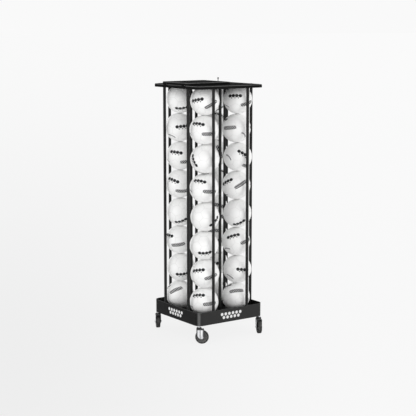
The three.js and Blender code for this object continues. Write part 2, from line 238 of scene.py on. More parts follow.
def traySideFinish():
    # the tray's coat with two staggered rows of printed dots on the middle of each side, and painted light:
    # the sides that face +X painted lighter
    look = printLook
    finish, colour = coatFinish("black coat, printed", coatLook)
    x, y, z = finish.parts(finish.place())
    along = abs(x).least(abs(y))
    outside = abs(x).most(abs(y)) > look.outside
    trayLow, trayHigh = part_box("tray")
    height = z - (trayLow.z + trayHigh.z) / 2
    half, soft, pitch, rise = look.size / 2, look.soft, look.pitch, look.rise
    printed = 0.0
    for shift, level in ((pitch / 2, rise), (0.0, -rise)):
        nearest = ((along + shift) / pitch).nearest() * pitch - shift
        across = along - nearest
        reach = (across * across + (height - level) * (height - level)).root()
        row = reach.fade(half - soft, half + soft, 1.0, 0.0) * (along < look.rowEnd * pitch + shift)
        printed = row.most(printed)
    # painted light: the sides that face +X are painted lighter, as if lit more, except on the painted
    # highlight
    faded = finish.facing()[0].fade(0.75, 1.0) * (1 - finish.own("painted_highlight"))
    colour = finish.mix(faded, colour, grey(look.faded))
    worn = finish.noise(420.0, 6.0).fade(0.3, 0.36)
    printed = printed * outside * (0.55 + 0.45 * worn)
    finish.set(Base_Color=finish.mix(printed, colour, grey(look.grey)))
    return finish.material


def markFrame(longitude, latitude, roll):
    # the middle of a mark on the ball, and the directions across and up it
    lon, lat, turn = (math.radians(angle) for angle in (longitude, latitude, roll))
    out = Vector((math.cos(lat) * math.cos(lon), math.cos(lat) * math.sin(lon), math.sin(lat)))
    east = Vector((-math.sin(lon), math.cos(lon), 0))
    north = out.cross(east)
    across = east * math.cos(turn) + north * math.sin(turn)
    return out, across, out.cross(across)


# each ball carries these marks twice, on opposite sides
ballMarks = {
    "dots": markFrame(0, 16, 0),
    "strip": markFrame(54, -16, 14),
    "arc": markFrame(-50, -22, -18),
}


def ballFinish():
    # coated panels with a fine pebble grain, small generic marks, and grime in the seams
    look, shape = ballLook, markShape
    finish = Finish("ball, white coated panels", Roughness=look.roughness, Specular_IOR_Level=look.specular)
    x, y, z = finish.parts(finish.own("ballPoint", "Vector"))
    side = x.sign()
    folded = (x * side, y * side, z)

    def along(direction, scale=ballRadius):
        return sum((part * (share * scale) for part, share in zip(folded, direction)), 0.0)

    def placeOn(mark):
        # how far right and up of the mark's middle, in mm, and whether it faces the same way
        out, across, up = ballMarks[mark]
        return along(across), along(up), along(out, 1.0) > shape.facing

    def edge(reach, limit):
        return reach.fade(limit - shape.soft, limit + shape.soft, 1.0, 0.0)

    grime = finish.noise(7.0, 5.0).fade(0.45, 0.8) * 0.55
    colour = finish.mix(grime, look.white, look.grubby)
    colour = finish.mix(finish.own("seam").fade(0.2, 1.0) * 0.8, colour, look.seam)

    right, rise, front = placeOn("dots")
    pitch = shape.dotPitch
    big = right - ((right / pitch - 0.5).nearest() + 0.5) * pitch
    small = right - (right / pitch).nearest() * pitch
    bigRise, smallRise = rise - shape.dotUp, rise + shape.smallDown
    dots = edge((big * big + bigRise * bigRise).root(), shape.dot) * (abs(right) < shape.dotEnd)
    smallDots = edge((small * small + smallRise * smallRise).root(), shape.small)
    dots = dots.most(smallDots * (abs(right) < shape.smallEnd))
    colour = finish.mix(dots * front, colour, look.mark)

    right, rise, front = placeOn("strip")
    squared = right * right
    taper = squared * squared * (shape.barTaper / shape.barEnd ** 4)
    bar = edge(abs(rise) + taper, shape.bar) * (abs(right) < shape.barEnd)
    slanted = (right + rise * shape.hatchSlant).rest(shape.hatchPitch)
    hatch = edge(abs(slanted - shape.hatchPitch / 2), shape.hatch)
    colour = finish.mix(bar * hatch * front, colour, look.strip)

    right, rise, front = placeOn("arc")
    below = rise + shape.arcRadius
    bend = (right * right + below * below).root() - shape.arcRadius
    arc = edge(abs(bend), shape.arc) * (abs(right) < shape.arcEnd)
    colour = finish.mix(arc * front, colour, look.faint)

    finish.set(Base_Color=colour)
    finish.bump(finish.cells(look.pebbleScale), look.pebbleDepth, 0.6)
    return finish.material


def zincFinish(name, rough, metallic=1.0):
    # bright zinc plate: soft spangles, fine rolling lines, and painted shade, a dark painted reflection where
    # the mesh's shade attribute is set
    finish = Finish(name, Metallic=metallic)
    spangle = finish.cells(160.0)
    cloud = finish.noise(28.0, 4.0)
    lines = finish.noise(700.0, 2.0, stretch=(1.0, 1.0, 0.08))
    colour = finish.mix(cloud.fade(0.3, 0.7), zincLook.bright, zincLook.dull)
    # painted shade: darker where the mesh's shade attribute is set, on the fork's sheet round its pads
    colour = finish.mix(finish.own("shade"), colour, zincLook.shade)
    finish.set(Base_Color=colour, Roughness=rough + spangle * 0.1 + cloud * 0.12)
    finish.bump(lines, 0.03 * mm, 0.5)
    return finish.material


def mouldedFinish(name, base, dusty, rough, grain, specular=0.4):
    # moulded plastic or rubber with a matt grain and dust in its hollows
    finish = Finish(name, Specular_IOR_Level=specular)
    dust = finish.noise(60.0, 6.0)
    fine = finish.noise(grain, 3.0)
    colour = finish.mix(dust.fade(0.42, 0.72), grey(base), grey(dusty, 0.02))
    finish.set(Base_Color=colour, Roughness=rough + fine * 0.12)
    finish.bump(fine, 0.06 * mm, 0.7)
    return finish.material


blackCoat = coatFinish("black coat, matt", deckLook)[0].material
tubeCoat = coatFinish("dark grey tube coat", tubeLook)[0].material
printedCoat = traySideFinish()
ballPanels = ballFinish()
zinc = zincFinish("bright zinc", 0.24)
forkZinc = zincFinish("bright zinc, pressed sheet", 0.34, 0.45)
steel = zincFinish("fastener zinc", 0.34)
blackPlastic = mouldedFinish("black moulded plastic", 0.010, 0.02, 0.4, 1500.0)
wheelPlastic = mouldedFinish("grey moulded plastic", wheelLook.core, wheelLook.coreDust, 0.42, 1300.0)
treadRubber = mouldedFinish("grey tread", wheelLook.tread, wheelLook.treadDust, 0.62, 2200.0, 0.25)
print("finishes made")


# Mesh helpers

def joinRings(bm, rings):
    # a band of faces between each two closed rings, or a fan where one of them is a single point
    for lower, upper in zip(rings, rings[1:]):
        count = max(len(lower), len(upper))
        for i in range(count):
            j = (i + 1) % count
            if len(lower) == 1:
                bm.faces.new((lower[0], upper[j], upper[i]))
            elif len(upper) == 1:
                bm.faces.new((lower[i], lower[j], upper[0]))
            else:
                bm.faces.new((lower[i], lower[j], upper[j], upper[i]))


def softened(line, closed=False, steps=3):
    # a line through corners, each given as (x, y, radius that rounds it off)
    places = []
    for index, (x, y, radius) in enumerate(line):
        here = Vector((x, y))
        ends = not closed and index in (0, len(line) - 1)
        if radius == 0 or ends:
            places.append(here)
            continue
        before = (Vector(line[index - 1][:2]) - here).normalized()
        after = (Vector(line[(index + 1) % len(line)][:2]) - here).normalized()
        half = before.angle(after) / 2
        middle = here + (before + after).normalized() * (radius / math.sin(half))
        start = here + before * (radius / math.tan(half)) - middle
        end = here + after * (radius / math.tan(half)) - middle
        turn = math.atan2(start.x * end.y - start.y * end.x, start.dot(end))
        for step in range(steps + 1):
            places.append(middle + Matrix.Rotation(turn * step / steps, 2) @ start)
    return places


def turn(bm, line, steps, place=upright, closed=False):
    # a line of (radius, height) in mm, turned about the Z axis of its place; gives the rings
    rings = []
    for radius, height in line:
        points = circle(radius, steps)[:steps if radius > 1e-6 else 1]
        rings.append([bm.verts.new(place @ (Vector((x, y, height)) * mm)) for x, y in points])
    joinRings(bm, rings + rings[:1] if closed else rings)
    return rings


def plate(bm, outline, low, high, place=upright, holes=()):
    # a flat sheet in mm with any number of holes, from one height to another
    layers = []
    for height in (low, high):
        rings = []
        for loop in (outline, *holes):
            rings.append([bm.verts.new(place @ (Vector((x, y, height)) * mm)) for x, y in loop])
        if holes:
            edges = [bm.edges.new((ring[i - 1], ring[i])) for ring in rings for i in range(len(ring))]
            bmesh.ops.triangle_fill(bm, use_beauty=True, use_dissolve=False, edges=edges)
        else:
            bm.faces.new(rings[0])
        layers.append(rings)
    for pair in zip(*layers):
        joinRings(bm, pair)


def moved(x, y, z):
    # a move, given in mm
    return Matrix.Translation(Vector((x, y, z)) * mm)


def raised(line, height):
    # a line of (radius, height) or (radius, height, rounding), moved up
    return [(radius, z + height, *rounding) for radius, z, *rounding in line]


def circle(radius, steps, middle=0.0):
    angles = [math.tau * i / steps for i in range(steps)]
    return [(middle + radius * math.cos(a), radius * math.sin(a)) for a in angles]


def softEdges(bm, width, fromAngle=60):
    bmesh.ops.recalc_face_normals(bm, faces=bm.faces)
    limit = math.radians(fromAngle)
    edges = [edge for edge in bm.edges if len(edge.link_faces) == 2 and edge.calc_face_angle() > limit]
    bmesh.ops.bevel(bm, geom=edges, offset=width * mm, segments=2, profile=0.5, affect="EDGES")


def meshOf(bm, name):
    bmesh.ops.recalc_face_normals(bm, faces=bm.faces)
    mesh = bpy.data.meshes.new(name)
    bm.to_mesh(mesh)
    bm.free()
    return mesh


def turnedMesh(name, line, steps, closed=False):
    bm = bmesh.new()
    turn(bm, line, steps, closed=closed)
    return meshOf(bm, name)


def objectOf(name, mesh):
    piece = bpy.data.objects.new(name, mesh)
    bpy.context.scene.collection.objects.link(piece)
    return piece


def addPiece(name, mesh, material, body, slotName, nodes=(), sharpFrom=38):
    # a mesh that node trees made comes with its material, and needs no even shading
    mesh.shade_smooth()
    mesh.set_sharp_from_angle(angle=math.radians(sharpFrom))
    piece = objectOf(name, mesh)
    if material:
        mesh.materials.clear()
        mesh.materials.append(material)
        piece.modifiers.new("even shading", "WEIGHTED_NORMAL").keep_sharp = True
    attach(piece, body)
    if nodes:
        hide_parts(*nodes)
    return piece


def geometryTree(name, inputs):
    # a node tree with one result, and its named inputs
    tree = bpy.data.node_groups.new(name, "GeometryNodeTree")
    for label, kind in inputs.items():
        tree.interface.new_socket(label, in_out="INPUT", socket_type="NodeSocket" + kind)
    tree.interface.new_socket("Result", in_out="OUTPUT", socket_type="NodeSocketGeometry")
    given = tree.nodes.new("NodeGroupInput")
    return tree, [Term(tree, given.outputs[label]) for label in inputs]


def spread(tree, places, piece, finish, **turned):
    # the tree's result: copies of the piece at the points of a mesh, with one finish
    points = addNode(tree, "GeometryNodeMeshToPoints", Mesh=places)
    copies = addNode(tree, "GeometryNodeInstanceOnPoints", Points=points, Instance=piece, **turned)
    real = addNode(tree, "GeometryNodeRealizeInstances", Geometry=copies)
    made = addNode(tree, "GeometryNodeSetMaterial", Geometry=real, Material=finish)
    feed(tree, tree.nodes.new("NodeGroupOutput").inputs["Result"], made)
    return tree


def copiesTree():
    # copies of one piece, each turned by the point's own "turn"
    inputs = {"Places": "Geometry", "Copied piece": "Object", "Finish": "Material"}
    tree, (places, copied, finish) = geometryTree("copies at points", inputs)
    piece = addNode(tree, "GeometryNodeObjectInfo", Object=copied, output="Geometry")
    kind = {"data_type": "FLOAT_VECTOR"}
    turned = addNode(tree, "GeometryNodeInputNamedAttribute", settings=kind, Name="turn")
    return spread(tree, places, piece, finish, Rotation=turned)


copiesGroup = copiesTree()


def runNodes(name, tree, mesh, values):
    # the tree's result as a plain mesh; the values go to its named inputs
    carrier = objectOf(name + "_places", mesh)
    modifier = carrier.modifiers.new("nodes", "NODES")
    modifier.node_group = tree
    for item in tree.interface.items_tree:
        if item.name in values:
            modifier[item.identifier] = values[item.name]
    graph = bpy.context.evaluated_depsgraph_get()
    made = bpy.data.meshes.new_from_object(carrier.evaluated_get(graph))
    made.name = name
    bpy.data.objects.remove(carrier)
    return made


def copiesAt(name, part, places, finish):
    # places are pairs of a point in metres and the turn of the copy there, an Euler or None
    points = bpy.data.meshes.new(name + "_points")
    points.from_pydata([tuple(point) for point, _ in places], [], [])
    turns = points.attributes.new("turn", "FLOAT_VECTOR", "POINT")
    for item, (_, angle) in zip(turns.data, places):
        item.vector = tuple(angle) if angle else (0, 0, 0)
    part.shade_smooth()
    part.set_sharp_from_angle(angle=math.radians(38))
    source = objectOf(name + "_part", part)
    made = runNodes(name, copiesGroup, points, {"Copied piece": source, "Finish": finish})
    bpy.data.objects.remove(source)
    return made


# Bent sheet: the tray, the top tray and the lid

sheetSteps = 10  # faces in each rounded corner


def sheetRing(bm, box, radius, inset, height):
    # a ring round a rounded rectangle (left, right, front, rear), all in mm
    left, right, front, rear = box
    points = []
    for x, y, start in ((right, rear, 0), (left, rear, 90), (left, front, 180), (right, front, 270)):
        cx = x - math.copysign(radius, x - (left + right) / 2)
        cy = y - math.copysign(radius, y - (front + rear) / 2)
        for step in range(sheetSteps + 1):
            angle = math.radians(start + 90 * step / sheetSteps)
            reach = radius - inset
            points.append((cx + reach * math.cos(angle), cy + reach * math.sin(angle), height))
    return [bm.verts.new(Vector(point) * mm) for point in points]


def sheetWall(bm, box, radius, line):
    # a wall that follows the rounded rectangle, with (inset, height) pairs for its section
    rings = [sheetRing(bm, box, radius, inset, height) for inset, height in line]
    joinRings(bm, rings)
    return rings[0], rings[-1]


def capWall(bm, box, shape, low, high):
    # the wall of a sheet that is bent down all round, up to its flat top
    inner, wall, edge, bend = shape.inner, shape.wall, shape.edge, shape.bend
    under = high - shape.sheet
    section = softened([
        (inner, under, 0), (wall, under, bend - wall), (wall, low, edge), (0, low, edge),
        (0, high, bend), (inner, high, 0),
    ], steps=5)
    return sheetWall(bm, box, shape.radius, section)


def insetOf(x, y, box, radius):
    # how far a point lies inside the rounded rectangle, and its angle round a corner
    left, right, front, rear = box
    outX = abs(x - (left + right) / 2) - ((right - left) / 2 - radius)
    outY = abs(y - (front + rear) / 2) - ((rear - front) / 2 - radius)
    if outX > 0 and outY > 0:
        return radius - math.hypot(outX, outY), math.degrees(math.atan2(outY, outX))
    return radius - max(outX, outY), 0.0


def addPaintedHighlight(mesh, worn):
    # how strongly each point of the mesh carries the painted highlight, from a function of its place in mm
    layer = mesh.attributes.new("painted_highlight", "FLOAT", "POINT")
    for item, vertex in zip(layer.data, mesh.vertices):
        item.value = worn(*(vertex.co / mm))


def bendHighlight(box, shape, high):
    # painted highlight along the bend
    reach = shape.bend * 0.8

    def worn(x, y, z):
        inset, _ = insetOf(x, y, box, shape.radius)
        return 1.0 if z > high - reach and inset < reach else 0.0

    return worn


def boxOf(node):
    low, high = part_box(node)
    return [value / mm for value in (low.x, high.x, low.y, high.y, low.z, high.z)]


def middleOf(node):
    box = boxOf(node)
    return [(low + high) / 2 for low, high in zip(box[::2], box[1::2])]


# the last two values: how strong the painted highlight along the top edge is, and how far down from the top
# it reaches, in mm
trayShape = Settings(
    radius=48, wall=2, floorRise=34, floorSheet=2, inner=40, edge=0.9, bend=5, weld=5,
    rim=3, rimWear=0.5, rimWearFrom=1.5,
)
trayBox = boxOf("tray")
trayBottom, trayTop = trayBox[4:]
floorLow = trayBottom + trayShape.floorRise
floorTop = floorLow + trayShape.floorSheet

bm = bmesh.new()
inner, wall, edge, weld = trayShape.inner, trayShape.wall, trayShape.edge, trayShape.weld
rimLow = trayTop - trayShape.rim
section = softened([
    (inner, floorLow, 0), (wall, floorLow, weld), (wall, trayBottom, edge), (0, trayBottom, edge),
    (0, rimLow, 0), (0, trayTop, edge), (wall, trayTop, edge), (wall, rimLow, 0),
    (wall, floorTop, trayShape.bend), (inner, floorTop, 0),
], steps=4)
first, last = sheetWall(bm, trayBox[:4], trayShape.radius, section)
bm.faces.new(first)
bm.faces.new(last)
trayMesh = meshOf(bm, "tray_sheet")


def trayHighlight(x, y, z):
    # painted highlight on the upper edge, and a painted vertical highlight down the middle of each rounded
    # corner
    inset, angle = insetOf(x, y, trayBox[:4], trayShape.radius)
    if z > trayTop - trayShape.rimWearFrom:
        return trayShape.rimWear
    return max(0.0, 1 - abs(angle - 41) / 22) if inset < 1 else 0.0


addPaintedHighlight(trayMesh, trayHighlight)
addPiece("tray_sheet", trayMesh, printedCoat, "cart", "black_coat", ["tray"])

topShape = Settings(
    radius=48, wall=2, sheet=2, inner=40, edge=0.9, bend=3.6,
    mouth=120, mouthLip=0.8, mouthFlat=1.5, mouthSteps=72,
)
topBox = boxOf("top_tray")
topBottom, deckTop = topBox[4:]
deckLow = deckTop - topShape.sheet
cellOffset = middleOf("post_front_right")[0]


def ringEdges(bm, ring):
    return [bm.edges.get((ring[i - 1], ring[i])) for i in range(len(ring))]


bm = bmesh.new()
first, last = capWall(bm, topBox[:4], topShape, topBottom, deckTop)
underEdges, deckEdges = ringEdges(bm, first), ringEdges(bm, last)
mouth, lip, flat = topShape.mouth, topShape.mouthLip, topShape.mouth + topShape.mouthFlat
mouthLine = softened([(flat, deckLow, 0), (mouth, deckLow, lip), (mouth, deckTop, lip), (flat, deckTop, 0)])
for x, y in itertools.product((-cellOffset, cellOffset), repeat=2):
    rings = turn(bm, mouthLine, topShape.mouthSteps, moved(x, y, 0))
    underEdges += ringEdges(bm, rings[0])
    deckEdges += ringEdges(bm, rings[-1])
for sheetEdges in (deckEdges, underEdges):
    bmesh.ops.triangle_fill(bm, use_beauty=True, use_dissolve=False, edges=sheetEdges)
topMesh = meshOf(bm, "top_tray_sheet")
addPaintedHighlight(topMesh, bendHighlight(topBox[:4], topShape, deckTop))
addPiece("top_tray_sheet", topMesh, blackCoat, "cart", "black_coat", ["top_tray"])

lidShape = Settings(
    radius=30, wall=2, sheet=2, inner=24, edge=0.9, bend=3.6, halfWidth=180, depth=392,
    flangeRadius=24, slotHalf=9, slotDepth=10, slotFrom=1.5, slotRadius=2, underCap=1, hingeSide=9,
)
lidBox = boxOf("lid")
lidBottom, lidTop = lidBox[4:]
capBox = (-lidShape.halfWidth, lidShape.halfWidth, lidBox[2], lidBox[2] + lidShape.depth)
flangeHalf = lidBox[1]

bm = bmesh.new()
first, last = capWall(bm, capBox, lidShape, lidBottom, lidTop)
bm.faces.new(first)
bm.faces.new(last)


def roundedOutline(box, radius, steps=8):
    left, right, front, rear = box
    line = [(left, front, radius), (right, front, radius), (right, rear, radius), (left, rear, radius)]
    return softened(line, closed=True, steps=steps)


left, right, front, rear = capBox
under, half, slotFront = lidShape.underCap, lidShape.slotHalf, rear + lidShape.slotFrom
insideBox = (left + under, right - under, front + lidShape.hingeSide, rear - under)
inside = roundedOutline(insideBox, lidShape.radius - under)
outline = roundedOutline((-flangeHalf, flangeHalf, -flangeHalf, flangeHalf), lidShape.flangeRadius)
slot = roundedOutline((-half, half, slotFront, slotFront + lidShape.slotDepth), lidShape.slotRadius, 3)
flange = bmesh.new()
plate(flange, outline, lidBottom, lidBottom + lidShape.sheet, holes=[inside, slot])
softEdges(flange, 0.5)
bm.from_mesh(meshOf(flange, "lid_flange"))
lidMesh = meshOf(bm, "lid_sheet")
addPaintedHighlight(lidMesh, bendHighlight(capBox, lidShape, lidTop))
addPiece("lid_sheet", lidMesh, blackCoat, "lid", "black_coat", ["lid"])
print("sheet metal made")


# Posts, each with a weld bead round its foot

postShape = Settings(radius=11.1, bead=1.5, steps=40, beadSteps=10, outerFrom=250)
postNodes = [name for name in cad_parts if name.startswith("post_")]
postBox = boxOf(postNodes[0])


def postTree():
    inputs = {
        "Places": "Geometry", "Post radius": "Float", "Post length": "Float", "Bead radius": "Float",
        "Post faces": "Int", "Finish": "Material",
    }
    tree, (places, radius, length, bead, faces, finish) = geometryTree("posts", inputs)
    tube = addNode(tree, "GeometryNodeMeshCylinder", Vertices=faces, Radius=radius, Depth=length)
    lift = addNode(tree, "ShaderNodeCombineXYZ", Z=length * 0.5)
    lifted = addNode(tree, "GeometryNodeTransform", Geometry=tube, Translation=lift)
    path, thick = (
        addNode(tree, "GeometryNodeCurvePrimitiveCircle", Resolution=steps, Radius=reach)
        for steps, reach in ((postShape.steps, radius), (postShape.beadSteps, bead))
    )
    weldBead = addNode(tree, "GeometryNodeCurveToMesh", Curve=path, Profile_Curve=thick)
    both = tree.nodes.new("GeometryNodeJoinGeometry")
    for piece in (lifted, weldBead):
        feed(tree, both.inputs["Geometry"], piece)
    return spread(tree, places, Term(tree, both.outputs["Geometry"]), finish)


postPlaces = [Vector((*middleOf(node)[:2], boxOf(node)[4])) * mm for node in postNodes]
posts = bpy.data.meshes.new("post_points")
posts.from_pydata([tuple(place) for place in postPlaces], [], [])
postMesh = runNodes("cage_posts", postTree(), posts, {
    "Post radius": postShape.radius * mm, "Post length": (postBox[5] - postBox[4]) * mm,
    "Bead radius": postShape.bead * mm, "Post faces": postShape.steps, "Finish": tubeCoat,
})
addPiece("cage_posts", postMesh, None, "cart", "tube_coat", postNodes)

# button-head screws with a round recess, through the deck into the outer posts
screwShape = Settings(
    radius=5.6, rim=0.5, flat=2.7, dome=2.4, steps=4,
    recess=[(2.1, 0), (1.9, -0.2), (1.9, -1.7), (0, -2.1)],
)
line = [(0, 0), (screwShape.radius, 0), (screwShape.radius, screwShape.rim)]
for step in range(1, screwShape.steps + 1):
    angle = math.pi / 2 * step / screwShape.steps
    reach = screwShape.flat + (screwShape.radius - screwShape.flat) * math.cos(angle)
    line.append((reach, screwShape.rim + screwShape.dome * math.sin(angle)))
line += raised(screwShape.recess, screwShape.rim + screwShape.dome)
outer = [place for place in postPlaces if place.xy.length > postShape.outerFrom * mm]
spots = [(Vector((place.x, place.y, deckTop * mm)), None) for place in outer]
screws = copiesAt("post_screws", turnedMesh("button_screw", line, 24), spots, blackCoat)
addPiece("post_screws", screws, None, "cart", "black_coat")
print("posts made")


# Balls: thirty-two stitched panels each

ballShape = Settings(
    sideSteps=5, seam=[(0, 0.8), (0.7, 0.4), (1.6, 0.1), (3.2, 0.0)], rings=(0.75, 0.5, 0.25),
)


def ballMesh():
    # pentagons round the corners of an icosahedron and hexagons on its faces
    golden = (1 + math.sqrt(5)) / 2
    tops = []
    for a, b in itertools.product((-1, 1), (-golden, golden)):
        tops += [Vector((0, a, b)), Vector((a, b, 0)), Vector((b, 0, a))]
    close = 2.01
    panels = []
    for corner in tops:
        near = [other for other in tops if 0 < (other - corner).length < close]
        panels.append([corner.lerp(other, 1 / 3) for other in near])
    for a, b, c in itertools.combinations(tops, 3):
        if max((a - b).length, (b - c).length, (c - a).length) < close:
            pairs = ((a, b), (b, a), (b, c), (c, b), (c, a), (a, c))
            panels.append([p.lerp(q, 1 / 3) for p, q in pairs])
    bm = bmesh.new()
    seam = bm.verts.layers.float.new("seam")
    point = bm.verts.layers.float_vector.new("ballPoint")
    radius, count = ballRadius, ballShape.sideSteps
    for panel in panels:
        middle = sum(panel, Vector()) / len(panel)
        out = middle.normalized()
        across = out.orthogonal().normalized()
        up = out.cross(across)
        panel.sort(key=lambda p: math.atan2((p - middle).dot(up), (p - middle).dot(across)))
        edge = []
        for p, q in zip(panel, panel[1:] + panel[:1]):
            edge += [p.lerp(q, step / count) for step in range(count)]
        scale = radius / panel[0].length
        depthOfPanel = ((panel[0] + panel[1]) / 2 - middle).length * scale
        rings = [(1 - inset / depthOfPanel, depth) for inset, depth in ballShape.seam]
        rings += [(share, 0.0) for share in ballShape.rings]
        made = []
        for share, depth in rings:
            ring = []
            for p in edge:
                direction = middle.lerp(p, share).normalized()
                vert = bm.verts.new(direction * (radius - depth) * mm)
                vert[point] = direction
                vert[seam] = depth / ballShape.seam[0][1]
                ring.append(vert)
            made.append(ring)
        vert = bm.verts.new(out * radius * mm)
        vert[point] = out
        made.append([vert])
        joinRings(bm, made)
    bmesh.ops.remove_doubles(bm, verts=bm.verts, dist=0.02 * mm)
    return meshOf(bm, "stitched_ball")


cameraLook = Settings(
    place=(7.446, -5.267, 2.3765), down=8.786, turn=54.727, lens=103.73, sensor=36.0, far=1000,
)
cameraPlace, cameraTurn = Vector(cameraLook.place), math.radians(cameraLook.turn)
imageRight = Vector((math.cos(cameraTurn), math.sin(cameraTurn), 0))

# which mark of a ball looks out, how far right and up of the ball's middle, and its roll in degrees
ballTurns = {
    "front_left": [
        ("strip", -0.3, 0.3, 20), ("dots", 0.1, -0.56, 4), ("dots", -0.8, 0.26, -30),
        ("dots", 0.02, -0.72, 22), ("dots", -0.46, 0.22, -26), ("dots", -0.34, 0.2, -12),
        ("dots", 0.22, 0.02, 6), ("dots", 0.1, -0.7, 3),
    ],
    "front_right": [
        ("dots", -0.42, 0.42, -10), ("strip", 0.46, -0.24, 14), ("dots", 0.06, -0.58, 3),
        ("dots", 0.7, -0.36, 30), ("strip", 0.42, -0.26, -8), ("dots", -0.78, -0.12, -58),
        ("dots", -0.42, 0.4, -18), ("strip", 0.46, -0.28, 24),
    ],
    "rear_right": [
        ("strip", 0.06, 0.4, 8), ("dots", 0.4, -0.1, -6), ("dots", -0.2, 0.34, 12),
        ("dots", 0.14, -0.74, 24), ("dots", -0.66, 0.2, 14), ("dots", 0.4, 0.16, -28),
        ("strip", -0.5, 0.02, 4), ("dots", -0.2, 0.22, -2),
    ],
}


def ballTurn(place, mark, sideways, upward, roll):
    # turns the ball so that the mark's middle looks out at that part of its face
    out, across, _ = ballMarks[mark]
    toCamera = (cameraPlace - place).normalized()
    imageUp = toCamera.cross(imageRight)
    front = math.sqrt(max(0.0, 1 - sideways ** 2 - upward ** 2))
    target = imageRight * sideways + imageUp * upward + toCamera * front
    flat = (imageRight - target * imageRight.dot(target)).normalized()
    tilted = Matrix.Rotation(math.radians(roll), 3, target) @ flat
    return (axes(target, tilted) @ axes(out, across).transposed()).to_euler()


def axes(first, second):
    return Matrix((first, second, first.cross(second))).transposed()


# how far the balls of a stack lie off its middle, in mm: all of them, and each second one to the other side
ballDrift = {"front_left": (-4, -5.5), "front_right": (0, 0), "rear_right": (-5, -8), "rear_left": (0, 0)}
ballSway = {"front_left": (3, 4), "front_right": (2, 2.5), "rear_right": (3, 4.5), "rear_left": (-3, 2)}
ball = ballMesh()
loose = random.Random(7)
for corner in corners:
    node = "ball_column_" + corner
    middleX, middleY, _ = middleOf(node)
    lowest = boxOf(node)[4] + ballRadius
    places = []
    drift, sway = Vector(ballDrift[corner]), Vector(ballSway[corner])
    pitch = math.sqrt((2 * ballRadius) ** 2 - (2 * sway).length_squared)
    for k in range(8):
        off = drift + sway * (1 if k % 2 else -1)
        place = Vector((middleX + off.x, middleY + off.y, lowest + pitch * k)) * mm
        if corner in ballTurns:
            angle = ballTurn(place, *ballTurns[corner][k])
        else:
            angle = [loose.uniform(0, math.tau) for _ in range(3)]
        places.append((place, angle))
    column = copiesAt("balls_" + corner, ball.copy(), places, ballPanels)
    addPiece("balls_" + corner, column, None, "cart", "ball", [node], sharpFrom=80)
print("balls made")


# Lock eye: a forged ring on a shank with a foot on the deck and a nut under it

# lines of radius, height and rounding, from the nearest end, ring or face
eyeShape = Settings(
    ring=5.9, wire=2.3, gap=0.1, nutHeight=4.0, threadTurns=7, threadPitch=0.8,
    foot=[(0, 0, 0), (4.0, 0, 0.4), (4.0, 1.5, 0.4), (2.5, 2.5, 0.6)],
    neck=[(2.5, -7, 3), (2.9, -2.5, 1), (2.6, -0.4, 0), (0, 0.6, 0)],
    thread=[(2.5, -0.6), (2.1, -1.0)],
    nutLow=[(0, 0), (5.9, 0), (6.4, 0.5)], nutHigh=[(6.4, -0.5), (5.9, 0), (0, 0)],
)
eyeBox = boxOf("lock_eye")
ringMiddle = eyeBox[5] - eyeShape.ring - eyeShape.wire
eyePlace = moved(*middleOf("lock_eye")[:2], 0)
bm = bmesh.new()
wire = circle(eyeShape.wire, 16, eyeShape.ring)
turn(bm, wire, 48, eyePlace @ moved(0, 0, ringMiddle) @ Matrix.Rotation(math.pi / 2, 4, "X"), closed=True)
line = raised(eyeShape.foot, eyeBox[4]) + raised(eyeShape.neck, ringMiddle - eyeShape.ring)
turn(bm, softened(line), 24, eyePlace)
under = deckLow - eyeShape.gap
thread = [(0, under), (eyeShape.thread[0][0], under)]
for step in range(eyeShape.threadTurns):
    thread += raised(eyeShape.thread, under - step * eyeShape.threadPitch)
thread.append((0, under - (eyeShape.threadTurns + 1) * eyeShape.threadPitch))
turn(bm, thread, 24, eyePlace)
nut = raised(eyeShape.nutLow, under - eyeShape.nutHeight) + raised(eyeShape.nutHigh, under)
turn(bm, nut, 6, eyePlace)
addPiece("lock_eye_ring", meshOf(bm, "lock_eye_ring"), tubeCoat, "cart", "black_coat", ["lock_eye"])


# Hinges: rolled knuckles, leaves with rounded corners, and two countersunk screws in each leaf

hingeShape = Settings(
    width=40, leaf=13, sheet=2, knuckle=3.6, pin=1.8, bore=0.25, lidKnuckle=13.4, gap=0.3,
    near=0.5, free=4.5, corner=3, rounding=0.4, screwSide=13, screwDown=8.2,
    screw=[(0, 0), (3.1, 0), (3.1, 0.25), (2.75, 0.45), (1.3, 0.5), (1.1, -0.4), (0, -0.6)],
)
alongHinge = Matrix.Rotation(math.pi / 2, 4, "Y")


def hingeLeaf(pinMiddle, direction):
    # direction is 1 for the lid's leaf, above the pin, and -1 for the tray's leaf
    shape = hingeShape
    half, reach, corner = shape.width / 2, shape.leaf, shape.corner
    if direction == 1:
        split, outer, inner = shape.lidKnuckle / 2, shape.free, shape.near
        knuckles = [(-split, split)]
    else:
        split, outer, inner = shape.lidKnuckle / 2 + shape.gap, shape.near, shape.free
        knuckles = [(-half, -split), (split, half)]
    bm = bmesh.new()
    line = [(-half, outer, 0), (-split, outer, 0), (-split, inner, 0), (split, inner, 0)]
    line += [(split, outer, 0), (half, outer, 0), (half, reach, corner), (-half, reach, corner)]
    outline = [(x, y * direction) for x, y in softened(line, closed=True, steps=5)]
    x, y, z = pinMiddle
    back = y + shape.knuckle
    toHinge = Matrix(((1, 0, 0, x * mm), (0, 0, 1, 0), (0, 1, 0, z * mm), (0, 0, 0, 1)))
    plate(bm, outline, back - shape.sheet, back, toHinge)
    softEdges(bm, 0.3)
    bore, out, rounding = shape.pin + shape.bore, shape.knuckle, shape.rounding
    for start, end in knuckles:
        tube = [(bore, start, 0), (out, start, rounding), (out, end, rounding), (bore, end, 0)]
        turn(bm, softened(tube), 32, moved(*pinMiddle) @ alongHinge, closed=True)
    return bm


